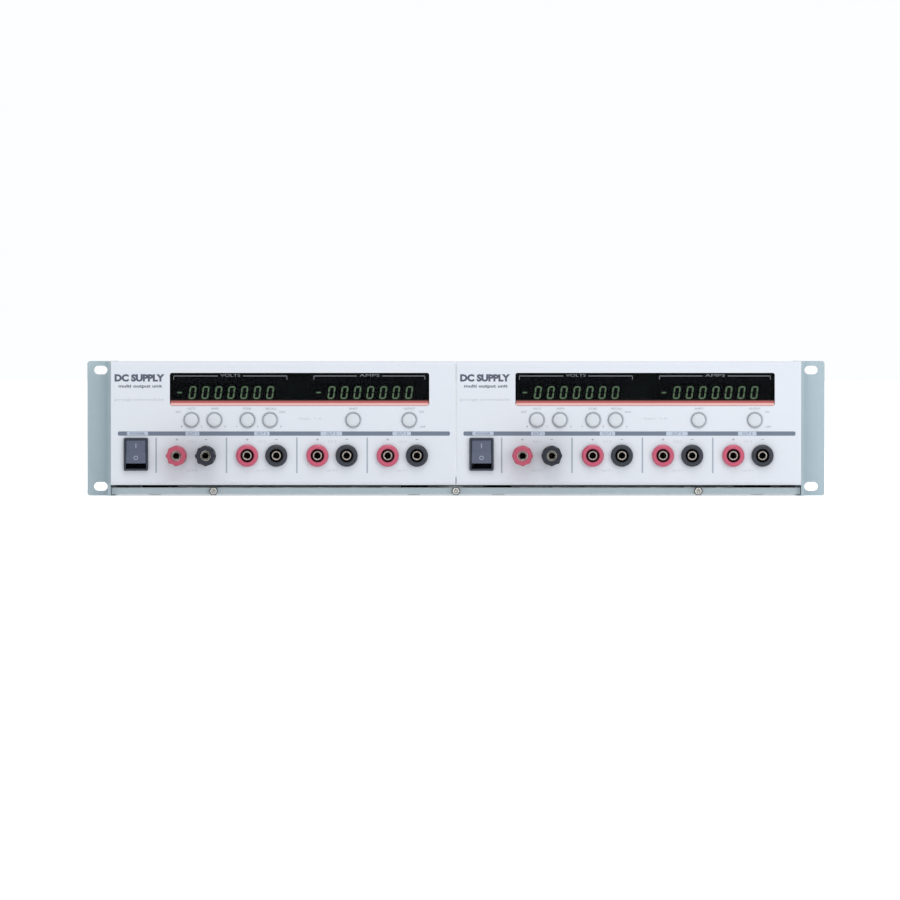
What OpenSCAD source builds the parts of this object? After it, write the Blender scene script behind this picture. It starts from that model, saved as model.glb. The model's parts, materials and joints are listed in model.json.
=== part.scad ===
// Twin bench power supply: two half-rack instruments, each with four output pairs,
// carried side by side in a two-unit rack tray with screwed-on ears.
// +X is right, +Y is back, +Z is up; all sizes are millimetres.

/* [Rack frame] */
// Overall width across both rack ears
rack_w = 482.6; // [481:0.1:484]
// Height of the ears, two rack units
rack_h = 88.1; // [88:0.1:88.9]
// Distance between slot centres, left to right
slot_pitch_x = 465.1; // [464.8:0.1:465.4]
// Distance between slot centres, bottom to top
slot_pitch_z = 76.2; // [75.9:0.1:76.5]
// Width of a mounting slot
slot_w = 5.6; // [5.2:0.1:6.4]
// End-to-end length of a mounting slot
slot_len = 8.8; // [7:0.1:9]
// Wall thickness of the ear extrusion
ear_t = 2; // [1.8:0.1:2]
// How far the ear's side plate runs back
ear_depth = 110; // [100:1:160]
// Thickness of the tray sheet
tray_t = 1.2; // [1:0.1:1.2]
// Height of the tray's front lip, bend included
lip_h = 4.3; // [4:0.1:5]

/* [Instrument case] */
// Width of one front bezel
bezel_w = 225.1; // [224.5:0.1:225.2]
// Height of one front bezel
bezel_h = 80.8; // [80:0.1:80.9]
// Depth of one front bezel
bezel_d = 21.6; // [20:0.1:21.8]
// Thickness of the bezel's front wall
face_t = 2.6; // [2:0.1:3]
// Width of the sheet-metal case behind the bezel
case_w = 217.8; // [216:0.1:217.8]
// Length of the sheet-metal case behind the ears
case_d = 262; // [262:1:300]

/* [Display] */
// Width of the display window
window_w = 169.2; // [165:0.1:170]
// Height of the display window
window_h = 21.6; // [20:0.1:22]
// Distance between neighbouring digits
digit_pitch = 8.44; // [8.4:0.01:8.6]

/* [Controls] */
// Diameter of a push button's cap
key_dia = 8.8; // [8:0.1:9.4]
// Travel of a push button
key_travel = 1.2; // [0.8:0.1:1.3]
// Total swing of the power rocker, in degrees
rocker_swing = 20; // [16:1:22]

/* [Terminals] */
// Distance between the red and black terminal of one pair
pair_gap = 19.05; // [19:0.05:20.5]
// Distance between neighbouring pairs
pair_pitch = 45.85; // [45:0.05:46]
// Diameter of the bore that a test plug enters
plug_dia = 4; // [4:0.01:4.1]
// Diameter of a binding post's cap
cap_dia = 13.4; // [12.6:0.1:14]
// Diameter of a safety socket's collar
socket_dia = 14.5; // [14:0.1:16]

/* [Hidden] */
$fn = 64;
SIDES = [-1, 1];

// Rack opening and depth layout. Local y is 0 at the front face of the ears.
open_half = 225.4;
rib_gap = 0.2;
rib_d = 12;
side_clear = 0.2;
plate_out = open_half - side_clear;
plate_in = plate_out - ear_t;
face_y = -22;
post_reach = 19;
rear_reach = 267;
y_ear = -(rear_reach + face_y - post_reach) / 2;

// Tray heights
tray_z = 1;
floor_z = tray_z + tray_t;
lip_y = -7;
tray_wall_h = 40;
lip_screw_x = [-158.5, 0, 158.5];
lip_screw_z = 3;

// Instrument placement and heights
unit_x = 112.7;
bezel_z = 7.2;
bezel_top = bezel_z + bezel_h;
skin_t = 2.4;
sheet = 1;
case_z = 9.9;
case_top = 85.3;
deck_z = case_z + sheet;
cover_in = case_w / 2 - sheet;
chassis_half = cover_in - 0.2;
case_front = -6;
chassis_front = -3;
rear_y = case_d - 1.2;
rear_t = 1.2;
foot_xy = [[-85, 25], [85, 25], [-85, 232], [85, 232]];

// Display window, digits and boards
window_x = 10.65;
window_z = 69.6;
window_r = 1.5;
pane_t = 1.8;
pane_lip = 0.8;
pane_rim = 1;
digit_first = [-59.25, 31.45];
digit_count = 7;
digit_z = 67.5;
digit_face_y = -17.5;
board_y = -10.5;
board_t = 1.6;
board_x = [-86, 105];
board_z = [42, 84];
boss_x = [-81.5, 101.5];
boss_z = [46, 80];

// Buttons and the rocker
key_x = [-59.95, -44.95, -23.35, -8.65, 45.55, 82.15];
key_z = 49.6;
key_proud = 2.2;
key_gap = 0.2;
dish_r = 5.7;
dish_d = 0.8;
switch_x = -96.05;
switch_z = 27.3;
switch_w = 15.9;
switch_h = 21.5;
switch_proud = 2;
neck_w = 14.9;
neck_h = 20.7;
rocker_w = 13;
rocker_front_h = 7.78;
rocker_pivot_back = 7;
switch_open_h = 9.5;

// Terminals
pair_x = [for (i = [0:3]) -59.85 + i * pair_pitch];
pair_z = 26.4;
stud_r = 3;
bush_r = 4.5;
run_gap = 0.05;

// Rear panel
fan_x = 50;
fan_z = 47.6;
fan_size = 60;
fan_t = 15;
fan_bolt = 25;
inlet_x = -75;
inlet_z = 47.6;
socket_z = 39.5;
fuse_z = 59;
fuse_travel = 16;

// Main board
main_x = [-88, 100];
main_y = [14, 136];
main_z = 17;
main_top = main_z + 1.6;
pillar_xy = [[-72, 18], [96, 18], [-84, 132], [96, 132]];

// ---- Placing and drawing helpers ----

// Moves a shape from the ears' frame to the model's frame.
module placed() {
    translate([0, y_ear, 0]) children();
}

// Moves one instrument's shape to its place in the tray.
module in_unit(side) {
    placed() translate([side * unit_x, 0, 0]) children();
}

// Repeats one instrument's shape in both places.
module in_both() {
    for (side = SIDES) in_unit(side) children();
}

// Extrudes an outline drawn in x and z from y0 back by t.
module plate_y(y0, t) {
    translate([0, y0 + t, 0]) rotate([90, 0, 0]) linear_extrude(t) children();
}

// Extrudes an outline drawn in y and z from x0 to the right by t.
module plate_x(x0, t) {
    translate([x0, 0, 0]) rotate([90, 0, 90]) linear_extrude(t) children();
}

// A box between two corners.
module block(a, b) {
    translate(a) cube(b - a);
}

// A cylinder that runs back from y by len.
module rod_y(x, y, z, r, len) {
    translate([x, y, z]) rotate([-90, 0, 0]) cylinder(h = len, r = r);
}

// A solid of revolution about y. Points are [radius, distance forward of the face].
module turned(x, z, points, y = face_y) {
    translate([x, y, z]) rotate([90, 0, 0]) rotate_extrude() polygon(points);
}

// A hexagonal prism that runs back from y by len.
module hex_y(x, y, z, across, len) {
    translate([x, y, z]) rotate([-90, 0, 0]) cylinder(h = len, r = across / sqrt(3), $fn = 6);
}

// A centred rectangle with round corners.
module round_rect(w, h, r) {
    square([w - 2 * r, h], center = true);
    square([w, h - 2 * r], center = true);
    for (x = SIDES, y = SIDES)
        translate([x * (w / 2 - r), y * (h / 2 - r)]) circle(r);
}

// A centred slot with round ends; it runs along the outline's first axis.
module slot(len, w) {
    square([len - w, w], center = true);
    for (x = SIDES) translate([x * (len - w) / 2, 0]) circle(w / 2);
}

// ---- Rack frame ----

module tray_floor() {
    difference() {
        translate([-plate_in, lip_y]) square([2 * plate_in, case_d - lip_y]);
        for (side = SIDES, p = foot_xy)
            translate([side * unit_x + p[0], p[1]]) circle(2.2);
        for (x = lip_screw_x)
            translate([x - 4.5, lip_y - 1]) square([9, tray_t + 4.2]);
        for (side = SIDES, i = [-3:3], y = [75, 130, 185])
            translate([side * unit_x + i * 22, y]) rotate(90) slot(40, 6);
    }
}

module rack_tray() {
    color([0.70, 0.76, 0.79]) {
        translate([0, 0, tray_z]) linear_extrude(tray_t) tray_floor();
        for (side = SIDES)
            translate([side > 0 ? plate_in : -plate_out, lip_y, tray_z])
                cube([plate_out - plate_in, -lip_y - 0.3, tray_t]);
        difference() {
            block([-plate_out, lip_y, tray_z], [plate_out, lip_y + tray_t, tray_z + lip_h]);
            for (x = lip_screw_x) rod_y(x, lip_y - 1, lip_screw_z, 1.6, tray_t + 2);
        }
        block([-plate_in, case_d - tray_t, 0], [plate_in, case_d, tray_z + 7]);
        for (side = SIDES) difference() {
            translate([side > 0 ? plate_in - tray_t : -plate_in, 0, tray_z])
                cube([tray_t, case_d, tray_wall_h]);
            ear_screw_places(side) cylinder(h = 20, r = 2, center = true);
        }
    }
}

module ear_screw_places(side) {
    for (y = [25, 85], z = [12, 32])
        translate([side * plate_out, y, z]) rotate([0, 90, 0]) children();
}

module ear_side_outline() {
    polygon([[0, 0], [ear_depth, 0], [ear_depth, 46], [62, rack_h], [0, rack_h]]);
}

module ear(side) {
    flange_w = rack_w / 2 - plate_in;
    color([0.62, 0.69, 0.72]) difference() {
        union() {
            plate_y(0, ear_t) difference() {
                union() {
                    translate([side * (plate_in + flange_w / 2), rack_h / 2])
                        round_rect(flange_w, rack_h, 2);
                    translate([side * (plate_in + 3), rack_h / 2])
                        square([6, rack_h], center = true);
                }
                for (z = SIDES)
                    translate([side * slot_pitch_x / 2, rack_h / 2 + z * slot_pitch_z / 2])
                        slot(slot_len, slot_w);
            }
            plate_x(side > 0 ? plate_in : -plate_out, ear_t) ear_side_outline();
            translate([side > 0 ? open_half + rib_gap : -open_half - rib_gap - ear_t, -rib_d, 0])
                cube([ear_t, rib_d + ear_t / 2, rack_h]);
        }
        ear_screw_places(side) {
            cylinder(h = 20, r = 2.1, center = true);
            translate([0, 0, side > 0 ? -2 : -0.01])
                cylinder(h = 2.01, r1 = side > 0 ? 2.1 : 4.1, r2 = side > 0 ? 4.1 : 2.1);
        }
    }
}

// A countersunk screw along the first axis, its head flush with the ear's outside.
module ear_screw(side) {
    rotate([side > 0 ? 180 : 0, 0, 0]) difference() {
        union() {
            cylinder(h = 1.9, r1 = 3.9, r2 = 1.9);
            cylinder(h = 3.1, r = 1.9);
        }
        translate([0, 0, -0.1]) cylinder(h = 1.2, r = 1.4, $fn = 6);
    }
}

module ear_screws() {
    color("silver") for (side = SIDES) ear_screw_places(side) ear_screw(side);
}

module lip_screws() {
    color("gray") for (x = lip_screw_x) {
        difference() {
            union() {
                hex_y(x, lip_y - 2, lip_screw_z, 5.2, 2);
                rod_y(x, lip_y, lip_screw_z, 1.5, 4.4);
            }
            rod_y(x, lip_y - 2.1, lip_screw_z, 1.3, 1.1);
        }
        difference() {
            hex_y(x, lip_y + tray_t, lip_screw_z, 5.2, 2.4);
            rod_y(x, lip_y + tray_t - 1, lip_screw_z, 1.55, 5);
        }
    }
}

// ---- Instrument case ----

module unit_foot_places() {
    for (p = foot_xy) translate([p[0], p[1], 0]) children();
}

module unit_feet() {
    color("dimgray") unit_foot_places() difference() {
        translate([0, 0, floor_z]) cylinder(h = case_z - floor_z, r1 = 9, r2 = 8);
        cylinder(h = 20, r = 2.1);
    }
}

module unit_screws() {
    color("silver") unit_foot_places() {
        difference() {
            union() {
                translate([0, 0, 0.1]) cylinder(h = tray_z - 0.1, r = 4.2);
                cylinder(h = deck_z + 3.6, r = 1.95);
            }
            translate([0, 0, -0.1]) cylinder(h = 0.7, r = 1.4, $fn = 6);
        }
        difference() {
            translate([0, 0, deck_z]) cylinder(h = 3.2, r = 4.04, $fn = 6);
            cylinder(h = 30, r = 2);
        }
    }
}

// The bezel's outer form: the long front edges are well rounded, the sides barely.
module bezel_blank() {
    intersection() {
        plate_x(-bezel_w / 2, bezel_w)
            translate([face_y + bezel_d / 2 + 10, bezel_z + bezel_h / 2])
                round_rect(bezel_d + 20, bezel_h, 2.6);
        translate([0, 0, bezel_z - 1]) linear_extrude(bezel_h + 2)
            translate([0, face_y + bezel_d / 2 + 10])
                round_rect(bezel_w, bezel_d + 20, 0.8);
        block([-bezel_w, face_y - 1, 0], [bezel_w, face_y + bezel_d, 100]);
    }
}

module bezel_cavity() {
    block(
        [-bezel_w / 2 + skin_t + 0.2, face_y + face_t, bezel_z + skin_t],
        [bezel_w / 2 - skin_t - 0.2, 10, bezel_top - skin_t]);
}

module bezel_openings() {
    plate_y(face_y - 1, 10) translate([window_x, window_z])
        round_rect(window_w, window_h, window_r);
    plate_y(face_y + pane_lip, 10) translate([window_x, window_z])
        round_rect(window_w + 2 * pane_rim + 0.2, window_h + 2 * pane_rim + 0.2, window_r);
    for (x = key_x) {
        rod_y(x, face_y - 1, key_z, key_dia / 2 + key_gap, 10);
        turned(x, key_z, [[0, 0.01], [dish_r, 0.01], [key_dia / 2 + key_gap, -dish_d], [0, -dish_d]]);
    }
    plate_y(face_y - 1, 10) translate([switch_x, switch_z])
        square([neck_w + 0.2, neck_h + 0.2], center = true);
    for (x = [0, 1]) rod_y(pair_x[0] + (x - 0.5) * pair_gap, face_y - 1, pair_z, 5.2, 10);
    for (i = [1:3], x = [0, 1])
        rod_y(pair_x[i] + (x - 0.5) * pair_gap, face_y - 1, pair_z, 5.9, 10);
}

module front_bezel() {
    color([0.87, 0.89, 0.92]) difference() {
        union() {
            difference() {
                bezel_blank();
                bezel_cavity();
                bezel_openings();
            }
            for (x = boss_x, z = boss_z)
                rod_y(x, face_y + face_t - 0.5, z, 3, board_y - face_y - face_t + 0.5);
            for (x = [-60, 0, 60])
                rod_y(x, face_y + face_t - 0.5, 13.6, 2.8, chassis_front - face_y - face_t + 0.5);
        }
        for (x = boss_x, z = boss_z) rod_y(x, board_y - 6, z, 1.3, 10);
        for (x = [-60, 0, 60]) rod_y(x, chassis_front - 8, 13.6, 1.3, 10);
    }
}

module display_window() {
    color([0.05, 0.06, 0.07]) plate_y(face_y + pane_lip, pane_t)
        translate([window_x, window_z])
            round_rect(window_w + 2 * pane_rim, window_h + 2 * pane_rim, window_r);
}

// One single-digit display module, its face forward.
module digit_module(x) {
    block(
        [x - digit_pitch / 2 + 0.05, digit_face_y, digit_z - 6.2],
        [x + digit_pitch / 2 - 0.05, board_y, digit_z + 6.2]);
}

module digits() {
    color([0.10, 0.22, 0.12])
        for (first = digit_first, i = [-1:digit_count - 1]) digit_module(first + i * digit_pitch);
}

// A tactile switch on the front board, with the well that its plunger sinks into.
module tact_switch(x) {
    difference() {
        block([x - 3, board_y - 3.5, key_z - 3], [x + 3, board_y, key_z + 3]);
        rod_y(x, board_y - 4, key_z, 1.85, 2.6);
    }
}

module front_board() {
    color([0.10, 0.35, 0.20]) difference() {
        block([board_x[0], board_y, board_z[0]], [board_x[1], board_y + board_t, board_z[1]]);
        for (x = boss_x, z = boss_z) rod_y(x, board_y - 1, z, 1.6, 5);
    }
    color([0.12, 0.12, 0.13]) for (x = key_x) tact_switch(x);
    color([0.15, 0.15, 0.16]) {
        for (x = [-50, -20, 40, 70])
            block([x - 8, board_y + board_t, 62], [x + 8, board_y + board_t + 2.4, 72]);
        block([10, board_y + board_t, 46], [34, board_y + board_t + 6, 53]);
    }
}

module chassis_deck() {
    difference() {
        translate([-chassis_half, chassis_front])
            square([2 * chassis_half, rear_y - 0.2 - chassis_front]);
        for (p = foot_xy) translate(p) circle(2.2);
        for (i = [-3:3], y = [150, 200]) translate([i * 22 - 11, y]) rotate(90) slot(34, 4);
    }
}

module chassis() {
    color([0.72, 0.73, 0.74]) difference() {
        union() {
            translate([0, 0, case_z]) linear_extrude(sheet) chassis_deck();
            for (side = SIDES)
                translate([side > 0 ? chassis_half - sheet : -chassis_half, chassis_front, case_z])
                    cube([sheet, rear_y - 0.2 - chassis_front, 31]);
            block([-chassis_half, chassis_front, case_z],
                  [chassis_half, chassis_front + sheet, case_z + 7.6]);
            for (side = SIDES)
                block([side > 0 ? 88 : -chassis_half, rear_y - 0.2 - sheet, case_z],
                      [side > 0 ? chassis_half : -88, rear_y - 0.2, case_z + 12]);
        }
        for (x = [-60, 0, 60]) rod_y(x, chassis_front - 1, 13.6, 1.6, 4);
        for (x = [-98, 98]) rod_y(x, rear_y - 3, 16.5, 1.55, 6);
    }
}

module cover_vents() {
    for (i = [-9:9]) {
        translate([i * 9.5, 205]) rotate(90) slot(52, 3);
        translate([i * 9.5, 75]) rotate(90) slot(44, 3);
    }
}

module cover() {
    color([0.78, 0.80, 0.82]) difference() {
        union() {
            translate([0, 0, case_top - sheet]) linear_extrude(sheet) difference() {
                translate([-case_w / 2, case_front]) square([case_w, case_d - case_front]);
                cover_vents();
                for (x = [-80, 80]) translate([x, 254]) circle(1.6);
            }
            for (side = SIDES)
                plate_x(side > 0 ? case_w / 2 - sheet : -case_w / 2, sheet) difference() {
                    translate([case_front, case_z])
                        square([case_d - case_front, case_top - sheet / 2 - case_z]);
                    for (i = [0:11]) translate([140 + i * 9, 62]) rotate(90) slot(26, 3);
                }
        }
    }
}

// ---- Rear panel and what sits in it ----

module fan_grille() {
    difference() {
        union() {
            for (r = [7, 14, 21, 28]) difference() {
                circle(r);
                circle(r - 4.4);
            }
        }
        for (a = [45, 135]) rotate(a) square([70, 3.2], center = true);
    }
}

module rear_panel() {
    color([0.70, 0.72, 0.73]) {
        plate_y(rear_y, rear_t) difference() {
            translate([-chassis_half, deck_z + 0.1])
                square([2 * chassis_half, case_top - sheet - 0.2 - deck_z - 0.1]);
            translate([fan_x, fan_z]) fan_grille();
            for (x = SIDES, z = SIDES)
                translate([fan_x + x * fan_bolt, fan_z + z * fan_bolt]) circle(2.1);
            translate([inlet_x, inlet_z]) square([28, 41], center = true);
            for (z = SIDES) translate([inlet_x, inlet_z + z * 23]) circle(1.6);
            for (x = [-98, 98]) translate([x, 16.5]) circle(1.6);
            for (i = [0:7]) translate([-48 + i * 7, 55]) rotate(90) slot(30, 3);
            translate([-24, 22]) circle(2.1);
        }
        difference() {
            block([-100, rear_y - 12, case_top - 2 * sheet - 0.2], [100, rear_y, case_top - sheet - 0.2]);
            for (x = [-80, 80]) translate([x, 254, 80]) cylinder(h = 8, r = 1.55);
        }
    }
}

module fan_frame() {
    color([0.08, 0.08, 0.09]) {
        plate_y(rear_y - fan_t, fan_t) difference() {
            translate([fan_x, fan_z]) round_rect(fan_size, fan_size, 4);
            translate([fan_x, fan_z]) circle(28.6);
            for (x = SIDES, z = SIDES)
                translate([fan_x + x * fan_bolt, fan_z + z * fan_bolt]) circle(2.1);
        }
        plate_y(rear_y - 5, 4.5) translate([fan_x, fan_z]) intersection() {
            union() {
                circle(13);
                for (a = [0, 90]) rotate(a) square([60, 3.4], center = true);
            }
            circle(28.8);
        }
        rod_y(fan_x, rear_y - 11, fan_z, 1.5, 8);
    }
}

module fan_rotor() {
    blades = 7;
    color([0.08, 0.08, 0.09]) difference() {
        union() {
            rod_y(fan_x, rear_y - 14, fan_z, 13.4, 8.4);
            for (i = [0:blades - 1])
                translate([fan_x, rear_y - 9.8, fan_z]) rotate([0, i * 360 / blades, 0])
                    translate([19.9, 0, 0]) rotate([38, 0, 0]) cube([15, 1.2, 12], center = true);
        }
        rod_y(fan_x, rear_y - 12, fan_z, 1.55, 10);
        difference() {
            rod_y(fan_x, rear_y - 12.4, fan_z, 12.2, 10);
            rod_y(fan_x, rear_y - 13, fan_z, 3, 12);
        }
    }
}

// The outline of a mains appliance inlet, flat side down.
module inlet_outline(grow = 0) {
    w = 12.1 + grow;
    h = 8.2 + grow;
    cut = 4.6;
    polygon([[-w, -h], [w, -h], [w, h - cut], [w - cut, h], [-w + cut, h], [-w, h - cut]]);
}

module power_inlet() {
    color([0.07, 0.07, 0.08]) difference() {
        union() {
            plate_y(case_d, 3) translate([inlet_x, inlet_z]) round_rect(31, 54, 3);
            plate_y(case_d - 26, 26.5) translate([inlet_x, inlet_z])
                square([27.6, 40.6], center = true);
        }
        plate_y(case_d - 14, 20) translate([inlet_x, socket_z]) inlet_outline();
        plate_y(case_d - 23, 30) translate([inlet_x, fuse_z]) square([18.2, 9.2], center = true);
        for (z = SIDES) {
            rod_y(inlet_x, case_d - 1, inlet_z + z * 23, 1.6, 6);
            translate([inlet_x, case_d + 1.2, inlet_z + z * 23]) rotate([-90, 0, 0])
                cylinder(h = 1.9, r1 = 1.6, r2 = 3.2);
        }
        for (p = [[-7, -2], [7, -2], [0, 2]])
            block([inlet_x + p[0] - 1, case_d - 30, socket_z + p[1] - 2],
                  [inlet_x + p[0] + 1, case_d - 13, socket_z + p[1] + 2]);
    }
    color("silver") for (p = [[-7, -2], [7, -2], [0, 2]])
        block([inlet_x + p[0] - 0.95, case_d - 33, socket_z + p[1] - 1.95],
              [inlet_x + p[0] + 0.95, case_d - 2, socket_z + p[1] + 1.95]);
}

module fuse_drawer() {
    color([0.07, 0.07, 0.08]) {
        difference() {
            block([inlet_x - 8.9, case_d - 22, fuse_z - 4.4], [inlet_x + 8.9, case_d + 3.1, fuse_z + 4.4]);
            block([inlet_x - 6, case_d - 20.8, fuse_z - 2.9], [inlet_x + 6, case_d + 0.5, fuse_z + 9]);
        }
        plate_y(case_d + 3.1, rear_reach - case_d - 3.1) translate([inlet_x, fuse_z])
            round_rect(21.5, 11.4, 1.2);
    }
    color("silver") rod_y(inlet_x, case_d - 20.5, fuse_z, 2.6, 20.4);
}

// ---- Works inside the case ----

module transformer() {
    translate([52, 190, 0]) {
        color([0.15, 0.15, 0.16]) for (z = [deck_z, 57])
            translate([0, 0, z]) difference() {
                cylinder(h = 1.5, r = 42);
                cylinder(h = 20, r = 3.3, center = true);
            }
        color([0.80, 0.62, 0.20]) translate([0, 0, 12.5]) rotate_extrude()
            translate([30, 22.2]) round_rect(29, 44.2, 9);
        color("silver") {
            translate([0, 0, 58.6]) difference() {
                cylinder(h = 2.4, r1 = 30, r2 = 26);
                cylinder(h = 20, r = 3.3, center = true);
            }
            translate([0, 0, deck_z]) cylinder(h = 54, r = 3.1);
            translate([0, 0, 61.1]) cylinder(h = 2.6, r = 5.8, $fn = 6);
        }
    }
}

// A finned heat sink whose channels run front to back.
module heat_sink(x, y, w, d, h) {
    fins = 13;
    plate_y(y, d) union() {
        translate([x, main_top + 0.1]) square([w, 5]);
        for (i = [0:fins - 1])
            translate([x + i * (w - 2) / (fins - 1), main_top + 0.1]) square([2, h]);
    }
}

module main_board() {
    color([0.10, 0.35, 0.20])
        block([main_x[0], main_y[0], main_z], [main_x[1], main_y[1], main_top]);
    color("silver") for (p = pillar_xy)
        translate([p[0], p[1], deck_z]) cylinder(h = main_z - deck_z, r = 3, $fn = 6);
    color([0.55, 0.56, 0.58]) heat_sink(-8, 88, 100, 42, 44);
    color([0.12, 0.14, 0.30]) for (x = [-70, -44], y = [100, 122])
        translate([x, y, main_top]) cylinder(h = 38, r = 10);
    color([0.75, 0.72, 0.15]) for (i = [0:4])
        block([-80 + i * 19, 24, main_top], [-80 + i * 19 + 13, 42, main_top + 14]);
    color([0.10, 0.10, 0.11]) {
        for (i = [0:3])
            block([8 + i * 22, 82, main_top], [8 + i * 22 + 15, 87, main_top + 24]);
        for (i = [0:2])
            block([20 + i * 24, 30, main_top], [20 + i * 24 + 16, 40, main_top + 3]);
    }
    color([0.90, 0.90, 0.88])
        block([-60, 60, main_top], [-20, 68, main_top + 10]);
}

// A lead of radius r in the plane z: back from the switch, across, and back to the inlet.
module mains_lead(z, x0, x1, y0, y1, y2, r, bend) {
    rod_y(x0, y0, z, r, y1 - bend - y0);
    translate([x0 + bend, y1 - bend, z]) rotate([0, 0, 90])
        rotate_extrude(angle = 90) translate([bend, 0]) circle(r);
    translate([x0 + bend, y1, z]) rotate([0, 90, 0])
        cylinder(h = x1 - x0 - 2 * bend, r = r);
    translate([x1 - bend, y1 + bend, z]) rotate([0, 0, -90])
        rotate_extrude(angle = 90) translate([bend, 0]) circle(r);
    rod_y(x1, y1 + bend, z, r, y2 - y1 - bend);
}

module wiring() {
    color([0.10, 0.10, 0.11]) mains_lead(27.3, switch_x, inlet_x, -3.8, 214, case_d - 26.2, 2.6, 8);
    color([0.55, 0.56, 0.58]) {
        block([14, -2.8, 47.5], [30, 10.2, 48.7]);
        block([14, 10.2, main_top + 0.1], [30, 11.4, 48.7]);
        block([14, 11.4, main_top + 0.1], [30, 22, main_top + 1.3]);
    }
}

// ---- Controls ----

module key(i) {
    color([0.82, 0.84, 0.85]) turned(key_x[i], key_z, [
        [0, key_proud], [2.6, key_proud - 0.05], [3.6, key_proud - 0.3], [key_dia / 2 - 0.25, key_proud - 0.8],
        [key_dia / 2, key_proud - 1.3], [key_dia / 2, -face_t - 0.05], [5.5, -face_t - 0.05],
        [5.5, -face_t - 1.1], [2, -face_t - 1.1], [2, -6.4], [0, -6.4]
    ]);
    color([0.12, 0.12, 0.13]) rod_y(key_x[i], face_y + 6.4, key_z, 1.7, 2.1);
}

module switch_body() {
    color([0.07, 0.07, 0.08]) difference() {
        union() {
            plate_y(face_y - switch_proud, switch_proud) translate([switch_x, switch_z])
                round_rect(switch_w, switch_h, 1);
            plate_y(face_y, 18) translate([switch_x, switch_z])
                square([neck_w, neck_h], center = true);
        }
        block([switch_x - rocker_w / 2 - 0.2, face_y - 5, switch_z - switch_open_h],
              [switch_x + rocker_w / 2 + 0.2, face_y + 11.7, switch_z + switch_open_h]);
        translate([switch_x, face_y + rocker_pivot_back, switch_z]) rotate([0, 90, 0])
            cylinder(h = rocker_w + 1, r = 1.05, center = true);
    }
    color("silver") for (z = SIDES)
        block([switch_x - 2.4, face_y + 18, switch_z + z * 6 - 0.4],
              [switch_x + 2.4, face_y + 25, switch_z + z * 6 + 0.4]);
}

// The rocker in section about its pivot: a shallow V face forward, tapering to the back.
module rocker_outline() {
    front = rocker_pivot_back + 3;
    polygon([
        [-front, -rocker_front_h], [1.5 - front, 0], [-front, rocker_front_h],
        [2.5, 5.6], [2.5, -5.6]
    ]);
}

// The rocker at rest is pressed in at its top.
module rocker() {
    color([0.12, 0.13, 0.15]) translate([switch_x, face_y + rocker_pivot_back, switch_z])
        rotate([-rocker_swing / 2, 0, 0]) {
            plate_x(-rocker_w / 2, rocker_w) rocker_outline();
            rotate([0, 90, 0]) cylinder(h = rocker_w + 0.8, r = 1, center = true);
        }
}

// ---- Terminals ----

module post_places() {
    for (x = [0, 1]) translate([pair_x[0] + (x - 0.5) * pair_gap, 0, 0]) children();
}

module post_collar(x) {
    turned(x, pair_z, [
        [stud_r + run_gap, 2.8], [5.9, 2.8], [6.5, 2.2], [6.5, 0], [5.1, 0], [5.1, -face_t],
        [stud_r + run_gap, -face_t]
    ]);
    turned(x, pair_z, [
        [stud_r + run_gap, -face_t - 0.05], [6.5, -face_t - 0.05], [6.5, -face_t - 2],
        [stud_r + run_gap, -face_t - 2]
    ]);
}

module socket_housing(x) {
    r = socket_dia / 2;
    turned(x, pair_z, [
        [4.4, 2.9], [4.9, 3.4], [r - 1.1, 3.4], [r - 0.3, 2.9], [r, 2.2], [r, 0], [5.8, 0],
        [5.8, -19], [3.15, -19], [3.15, -16], [4.4, -16]
    ]);
}

module terminals(x) {
    post_collar(pair_x[0] + (x - 0.5) * pair_gap);
    for (i = [1:3]) socket_housing(pair_x[i] + (x - 0.5) * pair_gap);
}

module red_terminals() {
    color([0.72, 0.16, 0.28]) terminals(0);
}

module black_terminals() {
    color([0.10, 0.10, 0.12]) terminals(1);
}

// The hollow studs; each has a wire hole through it just in front of the collar.
module post_studs() {
    color([0.80, 0.80, 0.78]) post_places() difference() {
        turned(0, pair_z, [
            [plug_dia / 2, 16.4], [plug_dia / 2 + 0.4, 16.8], [stud_r - 0.4, 16.8], [stud_r, 16.4],
            [stud_r, -24], [0, -24], [0, -4], [plug_dia / 2, -4]
        ]);
        translate([0, face_y - 4.6, pair_z]) cylinder(h = 10, r = 0.9, center = true);
    }
}

module socket_contacts() {
    color([0.80, 0.80, 0.78]) for (i = [1:3], x = [0, 1])
        turned(pair_x[i] + (x - 0.5) * pair_gap, pair_z, [
            [plug_dia / 2, 1.6], [2.4, 2], [2.8, 2], [3.1, 1.6], [3.1, -26], [0, -26],
            [0, -20], [plug_dia / 2, -20]
        ]);
}

// The threaded bush inside a post's cap.
module post_bush(x) {
    color([0.78, 0.66, 0.38]) turned(pair_x[0] + (x - 0.5) * pair_gap, pair_z, [
        [stud_r + run_gap, 12], [bush_r, 12], [bush_r, 2.9], [stud_r + run_gap, 2.9]
    ]);
}

module post_cap(x) {
    flutes = 8;
    cx = pair_x[0] + (x - 0.5) * pair_gap;
    r = cap_dia / 2;
    difference() {
        turned(cx, pair_z, [
            [3.4, post_reach - 0.5], [3.9, post_reach], [r - 1, post_reach], [r, post_reach - 1],
            [r, 3.6], [r - 0.7, 2.9], [bush_r + run_gap, 2.9], [bush_r + run_gap, 12.1], [3.4, 12.1]
        ]);
        for (i = [0:flutes - 1])
            translate([cx, 0, pair_z]) rotate([0, (i + 0.5) * 360 / flutes, 0])
                rod_y(r + 1.5, face_y - post_reach - 1, 0, 2.4, post_reach - 1);
    }
}

module red_cap() {
    color([0.72, 0.16, 0.28]) post_cap(0);
}

module black_cap() {
    color([0.10, 0.10, 0.12]) post_cap(1);
}

// ---- Fasteners of one instrument ----

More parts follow.
